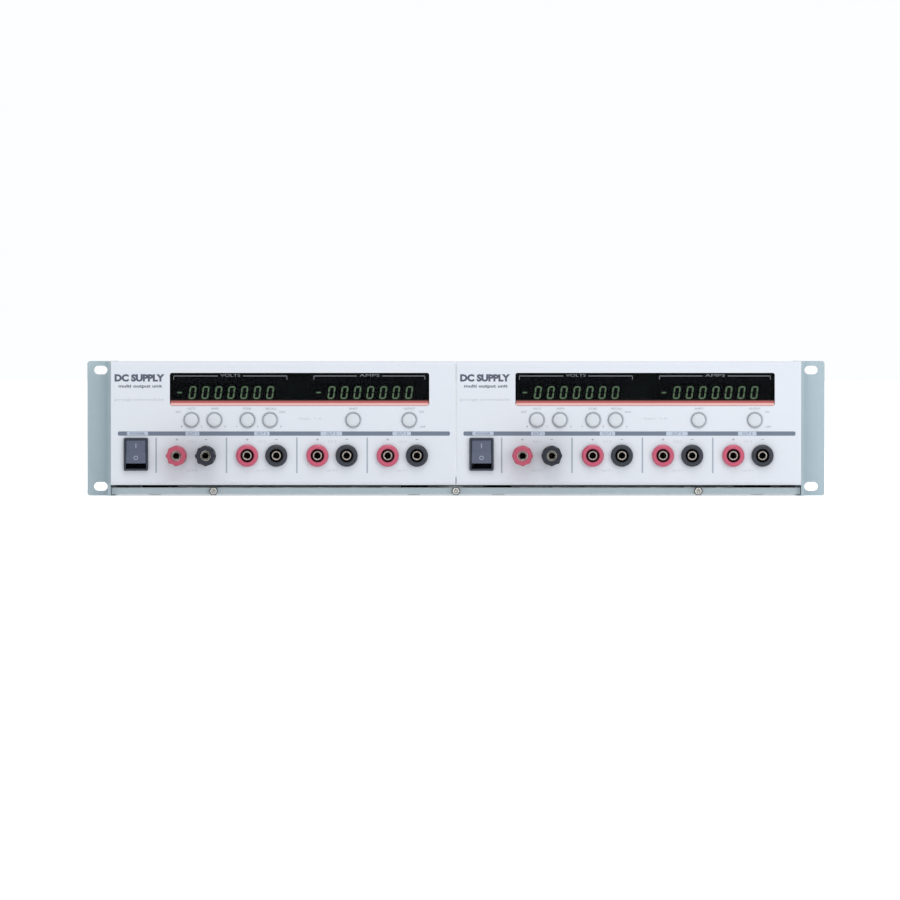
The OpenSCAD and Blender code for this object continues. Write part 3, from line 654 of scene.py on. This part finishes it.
# %% Divider lines between the outputs
DIVIDER_X = (-82.9, -37.0, 8.9, 54.8)
DIVIDER_Z = (15.0, 38.2)
DIVIDER_HALF = 0.5
DIVIDER_CORNER = 0.4
lines = [strip(x - DIVIDER_HALF, x + DIVIDER_HALF, *DIVIDER_Z, DIVIDER_CORNER) for x in DIVIDER_X]
fit_both(paint(join(lines), line_ink), "dividers")

# %% [markdown]
# ## Legends
# The words are generic: they say what a control does and name no maker or model. Each starts as a text object
# and is fitted to its width and height. They are grouped by ink, and each group is one piece per instrument,
# because one screen prints them together.

# %% Dark legends
TAB_WORD_Z = 40.8
TAB_WORD_HIGH = 1.5
ON_TAB = 0.11
dark = [
    lettering("DC SUPPLY", -93.7, 77.1, 32.6, 4.9, bold=0.06),
    lettering("multi output unit", -93.2, 71.5, 28.4, 2.7, bold=0.025),
    lettering("POWER", -95.05, TAB_WORD_Z, 9.2, TAB_WORD_HIGH, proud=ON_TAB),
]
for number, centre in enumerate(TAB_CENTRES):
    words = "OUT %d" % (number + 1)
    dark.append(lettering(words, centre, TAB_WORD_Z, 6.6, TAB_WORD_HIGH, proud=ON_TAB))
fit_both(paint(join(dark), dark_ink), "dark_legends")

# %% Grey legends round the keys and terminals
ABOVE, BESIDE, BELOW = 57.1, 54.9, 45.4
SMALL_HIGH = 1.25
# words, middle x, middle z, width
KEY_LEGENDS = (
    ("VOLTS", -59.95, ABOVE, 5.2), ("AMPS", -44.6, ABOVE, 4.9), ("STORE", -23.6, ABOVE, 5.4),
    ("RECALL", -7.8, ABOVE, 7.4), ("SHIFT", 45.9, ABOVE, 5.6), ("OUTPUT", 82.2, ABOVE, 7.4),
    ("SET", -68.4, BESIDE, 3.6), ("LOCK", -0.6, BESIDE, 4.2), ("ON", 90.2, 55.0, 2.9),
    ("1", -66.3, BELOW, 0.7), ("2", -53.3, BELOW, 1.0), ("3", -38.0, BELOW, 1.0),
    ("4", -30.4, BELOW, 1.0), ("5", -16.6, BELOW, 1.0), ("6", -1.4, BELOW, 1.0),
    ("OFF", 91.0, 45.2, 3.6),
)
PAIRS = (-59.85, -14.0, 31.85, 77.7)
HALF_PAIR = 9.525
SIGN_Z = 36.9
SIGN_WIDE = 1.7
MINUS_HIGH = 0.4
grey = [lettering(*row, SMALL_HIGH) for row in KEY_LEGENDS]
for centre in PAIRS:
    grey.append(lettering("+", centre - HALF_PAIR, SIGN_Z, SIGN_WIDE, SIGN_WIDE, bold=0.01))
    grey.append(lettering("-", centre + HALF_PAIR, SIGN_Z, SIGN_WIDE, MINUS_HIGH))
fit_both(paint(join(grey), grey_ink), "grey_legends")

# %% Faint legends
CHANNEL_Z = 35.6
LIMIT_Z = 16.8
faint = [
    lettering("programmable", -93.7, 62.8, 32.4, 2.2),
    lettering("keys  1-6", 17.5, 50.5, 14.8, 1.7),
]
for number, centre in enumerate(PAIRS):
    faint.append(lettering("CH %d" % (number + 1), centre, CHANNEL_Z, 5.4, 1.9))
    faint.append(lettering("max 32 V", centre, LIMIT_Z, 7.2, 1.5))
fit_both(paint(join(faint), faint_ink), "faint_legends")

# %% [markdown]
# ## Behind the window
# Each instrument shows two readings of seven digits and a sign. A digit is seven bars in a slanted eight, and a
# zero lights six of them. A digit font could draw it, but then the dark middle bar would be missing. So a bar is
# a small block with its ends bevelled to points, six of them make a zero, and the sheared zero is copied to each
# place. The lit bars and the dark ones are separate pieces, because they are separate lamps.

# %% One pointed bar
DIGIT_Z = 67.5
DIGIT_H = 8.4
DIGIT_W = 4.5
STROKE = 1.0
BAR_GAP = 0.2
BAR_HALF_DEPTH = 0.06
POINTED = 0.46
SLANT = math.tan(math.radians(8))
digits_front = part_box("left_digits")[0][1]


def bar(x, z, length, upright):
    corner = Vector((length / 2 * MM, BAR_HALF_DEPTH * MM, STROKE / 2 * MM))
    piece = block(-corner, corner)
    choose(piece, "EDGE", runs_along(piece, Y_AXIS))
    bpy.ops.mesh.bevel(offset=STROKE * POINTED * MM, segments=1, affect="EDGES")
    leave_edit()
    if upright:
        piece.rotation_euler = (0, math.radians(90), 0)
        fix_place(piece)
    piece.location = (x * MM, 0, z * MM)
    return fix_place(piece)


def lean(piece):
    piece.data.transform(Matrix(((1, 0, SLANT, 0), (0, 1, 0, 0), (0, 0, 1, 0), (0, 0, 0, 1))))
    return piece


high_z = DIGIT_H / 2 - STROKE / 2
side_x = DIGIT_W / 2 - STROKE / 2
level = DIGIT_W - STROKE - BAR_GAP
tall = high_z - BAR_GAP
zero = join([
    bar(0, high_z, level, False), bar(0, -high_z, level, False),
    bar(side_x, high_z / 2, tall, True), bar(side_x, -high_z / 2, tall, True),
    bar(-side_x, high_z / 2, tall, True), bar(-side_x, -high_z / 2, tall, True),
])
lean(zero)
dash = lean(bar(0, 0, level, False))
print("one zero has", len(zero.data.polygons), "faces")

# %% Lay out both readings
DIGIT_STEP = 8.44
FIRST = (-59.25, 31.45)
SIGN, DIGITS = -1, 7
BAR_OUT = 0.05
lit, unlit = [], []
for first in FIRST:
    for place in range(SIGN, DIGITS):
        at = (X0 + (first + place * DIGIT_STEP) * MM, digits_front - BAR_OUT * MM, DIGIT_Z * MM)
        lit.append(copy_of(dash if place == SIGN else zero, at))
        if place != SIGN:
            unlit.append(copy_of(dash, at))
for spare in (zero, dash):
    only(spare)
    bpy.ops.object.delete()
fit_both(paint(join(lit), lit_bar), "lit_bars")
fit_both(paint(join(unlit), dark_bar), "unlit_bars")

# %% [markdown]
# ## Lines and words on the window
# The front of the pane carries two brackets with the unit words, and a red line that fades downwards runs along
# its lower edge. A gradient in the pane's material could fade it, but three strips of ink, each paler than the
# last, need no special material and look the same at this width.

# %% Brackets and unit words
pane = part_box("left_window")[0][1]
# word, middle x, the bracket's two ends
UNITS = (("VOLTS", -34.5, -71.6, 2.6), ("AMPS", 56.3, 19.8, 92.6))
UNIT_Z, UNIT_WIDE, UNIT_HIGH = 78.8, 13.0, 1.9
BRACKET_Z = 78.6
BRACKET_THICK = 0.5
WORD_GAP = 8.2
TICK_WIDE = 0.4
TICK_Z = (BRACKET_Z - 2.6, BRACKET_Z - 0.2)
FINE_CORNER = 0.1
brackets = []
for word, middle, x0, x1 in UNITS:
    for start_x, end_x in ((x0, middle - WORD_GAP), (middle + WORD_GAP, x1)):
        brackets.append(strip(start_x, end_x, BRACKET_Z - BRACKET_THICK, BRACKET_Z, FINE_CORNER, pane))
    for start_x, end_x in ((x0, x0 + TICK_WIDE), (x1 - TICK_WIDE, x1)):
        brackets.append(strip(start_x, end_x, *TICK_Z, FINE_CORNER, pane))
    brackets.append(lettering(word, middle, UNIT_Z, UNIT_WIDE, UNIT_HIGH, pane))
fit_both(paint(join(brackets), window_ink), "window_brackets")

# %% The red lines
RED_X = (-73.6, 94.9)
# name, bottom, top, ink
RED_LINES = (
    ("deep", 61.9, 62.6, deep_red_line), ("red", 60.7, 61.8, red_line), ("pale", 59.0, 60.6, pale_red_line),
)
for shade, low, high, colour in RED_LINES:
    red = strip(*RED_X, low, high, FINE_CORNER, pane)
    fit_both(paint(red, colour), "window_%s_line" % shade)

# %% [markdown]
# ## The power rocker
# The rocker is one moulding with a shallow valley across its middle, and it narrows behind the face so that it
# can tip in its frame. A drawn profile could be extruded, but starting from a block keeps the pivot at the
# origin. The block is cut across the middle, the front of the cut is pushed back to make the valley, the back
# is drawn in, and all edges get a small round. Last, it is tipped with its top pressed in, where it rests.

# %% Shape the rocker
tilt = next(joint for joint in frame["record"]["behaviour"]["joints"] if joint["name"] == "left_rocker_tilt")
PIVOT = Vector(tilt["pos_m"])
REST = math.radians(-10)
FRONT, BACK, VALLEY = -10.0, 2.5, -8.5
HALF_W, HALF_H, BACK_H = 6.5, 7.78, 5.6
EDGE_ROUND, ROUND_STEPS, ROUND_ABOVE_DEGREES = 0.45, 3, 20
FACING = 0.9
NEAR_ZERO = 1e-6


def on_cut(edge):
    ends = [rocker.data.vertices[i].co for i in edge.vertices]
    return all(abs(end.z) < NEAR_ZERO and end.y < 0 for end in ends)


rocker = block((-HALF_W * MM, FRONT * MM, -HALF_H * MM), (HALF_W * MM, BACK * MM, HALF_H * MM))
choose(rocker, "FACE", lambda face: True)
bpy.ops.mesh.bisect(plane_co=(0, 0, 0), plane_no=(0, 0, 1))
leave_edit()
choose(rocker, "EDGE", on_cut)
bpy.ops.transform.translate(value=(0, (VALLEY - FRONT) * MM, 0))
leave_edit()
choose(rocker, "FACE", lambda face: face.normal.y > FACING)
bpy.ops.transform.resize(value=(1, 1, BACK_H / HALF_H), center_override=(0, BACK * MM, 0))
leave_edit()
soften(rocker, EDGE_ROUND * MM, ROUND_STEPS, ROUND_ABOVE_DEGREES)
print("rocker has", len(rocker.data.polygons), "faces")


# %% The two marks, raised on the sloping halves
MARK_OFF_MIDDLE = 4.0
MARK_OUT = 0.03
MARK_HALF_DEPTH = 0.06
MARK_HALF_HIGH = 1.5
STROKE_HALF_WIDE = 0.32
STROKE_ROUND = 0.25
RING_WALL = 0.55
RING_SIDES = 32


def on_slope(mark, upper):
    lift = MARK_OFF_MIDDLE if upper else -MARK_OFF_MIDDLE
    slope = math.atan2(VALLEY - FRONT, HALF_H)
    depth = VALLEY - (VALLEY - FRONT) * abs(lift) / HALF_H
    mark.rotation_euler = (slope if upper else -slope, 0, 0)
    mark.location = (0, (depth - MARK_OUT) * MM, lift * MM)
    return fix_place(mark)


def flat_end(face):
    return abs(face.normal.y) > FACING


corner = Vector((STROKE_HALF_WIDE * MM, MARK_HALF_DEPTH * MM, MARK_HALF_HIGH * MM))
stroke = block(-corner, corner)
choose(stroke, "EDGE", runs_along(stroke, Y_AXIS))
bpy.ops.mesh.bevel(offset=STROKE_ROUND * MM, segments=3, affect="EDGES")
leave_edit()
bpy.ops.object.select_all(action="DESELECT")
bpy.ops.mesh.primitive_cylinder_add(vertices=RING_SIDES, radius=MARK_HALF_HIGH * MM,
                                    depth=2 * MARK_HALF_DEPTH * MM, location=(0, 0, 0),
                                    rotation=(math.radians(90), 0, 0))
ring = fix_place(bpy.context.object)
choose(ring, "FACE", flat_end)
bpy.ops.mesh.inset(thickness=RING_WALL * MM, use_individual=True)
leave_edit()
choose(ring, "FACE", lambda face: flat_end(face) and len(face.vertices) == RING_SIDES)
bpy.ops.mesh.bridge_edge_loops()
leave_edit()
rocker_marks = join([on_slope(stroke, True), on_slope(face_out(ring), False)])

# %% Tip both to rest and fit them
for piece in (rocker, rocker_marks):
    piece.rotation_euler = (REST, 0, 0)
    piece.location = PIVOT
    fix_place(piece)
fit_both(paint(rocker, rocker_plastic), "rocker_moulding", "rocker", ("rocker",))
fit_both(paint(rocker_marks, mark_ink), "rocker_marks", "rocker")

# %% [markdown]
# ## Parts of more than one material
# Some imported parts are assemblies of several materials: a circuit board with its components, an inlet with
# metal pins. They could be modelled again, but their shapes are right as they are. So each gets a merged copy
# of its mesh, and every face takes its material from where it lies. A region is a test in millimetres: x from
# the middle of the instrument, y with the bezel's face at -22, and z from the table. The copy then stands for
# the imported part.

# %% Regions
BEZEL_FACE = -22.0


def inside(low, high):
    def test(x, y, z):
        return all(a <= v <= b for a, v, b in zip(low, (x, y, z), high))

    return test


def near_axis(x0, height, radius, y0, y1):
    def test(x, y, z):
        return math.hypot(x - x0, z - height) <= radius and y0 <= y <= y1

    return test


def round_up(x0, y0, r0, r1, z0, z1):
    def test(x, y, z):
        return r0 <= math.hypot(x - x0, y - y0) <= r1 and z0 <= z <= z1

    return test


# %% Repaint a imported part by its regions
WELD_PACKED = 1e-6
PACKED_SMOOTH = 30


def repaint(node, name, base, regions, body=BASE):
    source = frame["nodes"][node]
    only(source)
    made = bpy.data.objects.new(name, source.data.copy())
    bpy.context.scene.collection.objects.link(made)
    only(made)
    bpy.ops.object.mode_set(mode="EDIT")
    bpy.ops.mesh.select_all(action="SELECT")
    bpy.ops.mesh.remove_doubles(threshold=WELD_PACKED)
    leave_edit()
    paint(made, base, *[material for material, _ in regions])
    counts = [0] * (len(regions) + 1)
    for face in made.data.polygons:
        x, y, z = face.center
        middle = X0 if x < 0 else X0 + PITCH
        spot = ((x - middle) / MM, (y - FACE) / MM + BEZEL_FACE, z / MM)
        face.material_index = 0
        for number, (_, test) in enumerate(regions):
            if test(*spot):
                face.material_index = number + 1
        counts[face.material_index] += 1
    made.data.name = name
    bpy.ops.object.shade_smooth_by_angle(angle=math.radians(PACKED_SMOOTH))
    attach(made, body)
    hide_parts(node)
    print(name, "faces by material:", counts)
    return made


# %% Finishes that only these parts use
winding_wrap = finish("winding wrap", (0.66, 0.40, 0.07), (0.25, 0.4), texture="lines", depth=0.8, amount=0.15)
can_top = finish("capacitor can", (0.70, 0.70, 0.71), (0.25, 0.35), 1.0, scale=900, depth=0.3, amount=0.08)
print(len(bpy.data.materials), "materials so far")

# %% [markdown]
# ## Boards, transformer and inlet
# The main board carries a finned heat sink, large capacitors in blue sleeves, film capacitors, power transistors
# and chips. The ring transformer is wrapped in amber tape between two rubber pads. All of these stay inside the
# case, but the vents and the fan grille give a view of them. One flat colour would do for so little, yet a few
# boxes of space are enough to tell one component from the next.

# %% Boards
MAIN_REGIONS = [
    (board_green, inside((-88.1, 13.9, 16.9), (100.1, 136.1, 18.61))),
    (fin_metal, inside((-8.1, 87.9, 18.62), (92.1, 130.1, 63.0))),
    (sleeve_blue, inside((-80.1, 89.9, 18.62), (-33.9, 132.1, 56.5))),
    (can_top, inside((-80.1, 89.9, 56.5), (-33.9, 132.1, 57.0))),
    (film_yellow, inside((-80.1, 23.9, 18.62), (9.1, 42.1, 33.0))),
    (chip_black, inside((7.9, 81.9, 18.62), (90.0, 87.05, 43.0))),
    (chip_black, inside((19.9, 29.9, 18.62), (85.0, 40.1, 22.0))),
    (connector_white, inside((-60.1, 59.9, 18.62), (-19.9, 68.1, 29.0))),
]
FRONT_REGIONS = [
    (chip_black, inside((-90, -14.2, 40), (110, -10.55, 86))),
    (chip_black, inside((-90, -8.85, 61), (110, -6.4, 73))),
    (connector_white, inside((9.9, -8.85, 40), (34.1, -2.8, 61.0))),
]
for side in SIDES:
    repaint(side + "_main_board", side + "_board_and_parts", zinc, MAIN_REGIONS)
    repaint(side + "_front_board", side + "_key_board", board_green, FRONT_REGIONS)

# %% Transformer and fuse drawer
RING = (52.0, 190.0)
WINDING = [
    (foot_rubber, round_up(*RING, 3.2, 42.2, 10.8, 12.48)),
    (foot_rubber, round_up(*RING, 3.2, 42.2, 56.95, 58.55)),
    (winding_wrap, round_up(*RING, 15.3, 44.7, 12.49, 56.94)),
]
FUSE_AXIS = (-75, 59)
FUSE_RADIUS = 2.65
FUSE = [
    (connector_white, near_axis(*FUSE_AXIS, FUSE_RADIUS, 241.6, 261.8)),
    (nickel, near_axis(*FUSE_AXIS, FUSE_RADIUS, 241.3, 241.6)),
    (nickel, near_axis(*FUSE_AXIS, FUSE_RADIUS, 261.8, 262.0)),
]
for side in SIDES:
    repaint(side + "_transformer", side + "_ring_transformer", zinc, WINDING)
    repaint(side + "_fuse_drawer", side + "_fuse_holder", chip_black, FUSE, side + "_fuse_drawer")

# %% Contact tubes with bores painted dark as painted shade
PAIR_HEIGHT = 26.4
BORE_RADIUS = 2.05
BORE_END = 20
BORES = [centre + side * HALF_PAIR for centre in PAIRS for side in (-1, 1)]
for node, name, bore_start in (("socket_contacts", "socket_tubes", -22), ("post_studs", "post_tubes", -60)):
    repaint(node, name, contact_metal,
            [(bore_shade, near_axis(x, PAIR_HEIGHT, BORE_RADIUS, bore_start, BORE_END)) for x in BORES])

# %% Inlet pins, switch housings and leads
INLET_X, INLET_Z = -75, 39.5
PIN_SPOTS = ((-7, -2), (7, -2), (0, 2))
PIN_HALF_WIDE, PIN_HALF_HIGH = 0.97, 1.97
PIN_Y = (228.9, 260.1)
PINS = []
for x, z in PIN_SPOTS:
    low = (INLET_X + x - PIN_HALF_WIDE, PIN_Y[0], INLET_Z + z - PIN_HALF_HIGH)
    high = (INLET_X + x + PIN_HALF_WIDE, PIN_Y[1], INLET_Z + z + PIN_HALF_HIGH)
    PINS.append((nickel, inside(low, high)))
TERMINALS = [(zinc, inside((-110, -3.95, 10), (-80, 3.2, 45)))]
RIBBON = [(ribbon_grey, inside((13.9, -3, 18), (30.1, 22.2, 49)))]
repaint("power_inlets", "inlet_sockets", chip_black, PINS)
repaint("switch_bodies", "switch_housings", switch_plastic, TERMINALS)
repaint("wiring", "inner_leads", lead_jacket, RIBBON)

# %% [markdown]
# ## The screws of the lip
# Three hexagon screws show in the lip. Their plated faces are pale, and a dark rim of painted shade runs round
# each head, where the head meets the lip. A mask in the material could draw the rim, but it would need each
# head's place.
# So the rim is a real ring of faces: the front face of a merged copy is inset, and the outer ring takes the dark
# finish.

# %% Lip screws with a rim of painted shade
# the rim's dark colour is painted shade at the edge of each screw head
screw_rim_shade = finish("painted rim shade", (0.045, 0.050, 0.056), (0.45, 0.6), 0.4, scale=1800, depth=0.4, amount=0.2)
LIP_SCREW_X = (-158.5, 0.0, 158.5)
LIP_SCREW_Z = 3.0
RIM_WIDTH = 0.55
RIM_START = 2.2
SKIN = 0.01
lip_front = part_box("lip_screws")[0][1]
lip_heads = repaint("lip_screws", "lip_screw_heads", zinc, [])


def on_head(face):
    return face.normal.y < -FACING and face.center.y < lip_front + SKIN * MM


choose(lip_heads, "FACE", on_head)
bpy.ops.mesh.inset(thickness=RIM_WIDTH * MM)
leave_edit()
paint(lip_heads, zinc, screw_rim_shade)
for face in lip_heads.data.polygons:
    x, z = face.center.x / MM, face.center.z / MM
    out = min(math.hypot(x - middle, z - LIP_SCREW_Z) for middle in LIP_SCREW_X)
    if on_head(face) and out > RIM_START:
        face.material_index = 1
print("lip screw heads have", len(lip_heads.data.polygons), "faces")

# %% [markdown]
# ## Legends at the back
# The back carries generic legends above and below the mains inlet and under the fan grille. They are made like
# those of the front, only turned round to face the other way.

# %% Rear legends
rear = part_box("left_rear_panel")[1][1]
behind = [
    lettering("FUSE", -75, 79.2, 8.5, 2.6, rear, rear=True),
    lettering("AC INPUT  50/60 Hz", -75, 16.6, 30, 2.6, rear, rear=True),
    lettering("COOLING AIR - KEEP CLEAR", 50, 14.6, 46, 2.4, rear, rear=True),
]
fit_both(paint(join(behind), dark_ink), "rear_legends")

# %% [markdown]
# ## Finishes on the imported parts
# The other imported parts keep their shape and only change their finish. Copies of them could carry it too, but a
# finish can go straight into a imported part's material slots. The parts of a side carry its name.

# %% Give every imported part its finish
SHARED = {
    "rack_tray": tray_paint, "left_ear": ear_metal, "right_ear": ear_metal, "ear_screws": dark_screw,
    "unit_screws": zinc, "unit_feet": foot_rubber, "unit_fasteners": zinc,
    "red_terminals": red_plastic, "black_terminals": black_plastic, "fan_frames": chip_black,
}
KEYS = 6
EACH = {
    "bezel": bezel_plastic, "window": pane_smoke, "digits": digit_face, "chassis": case_steel,
    "cover": cover_paint, "rear_panel": case_steel, "red_bush": nickel, "black_bush": nickel,
    "red_cap": red_cap_plastic, "black_cap": black_cap_plastic, "fan_rotor": chip_black,
}
for number in range(KEYS):
    EACH["key_%d" % (number + 1)] = key_plastic
finishes = dict(SHARED)
for side in SIDES:
    for node, material in EACH.items():
        finishes[side + "_" + node] = material
for node, material in finishes.items():
    packed = frame["nodes"][node]
    if not packed.material_slots:
        packed.data.materials.append(material)
    for holder in packed.material_slots:
        holder.material = material
print(len(finishes), "packed parts finished")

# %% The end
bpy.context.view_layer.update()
bpy.ops.object.select_all(action="DESELECT")
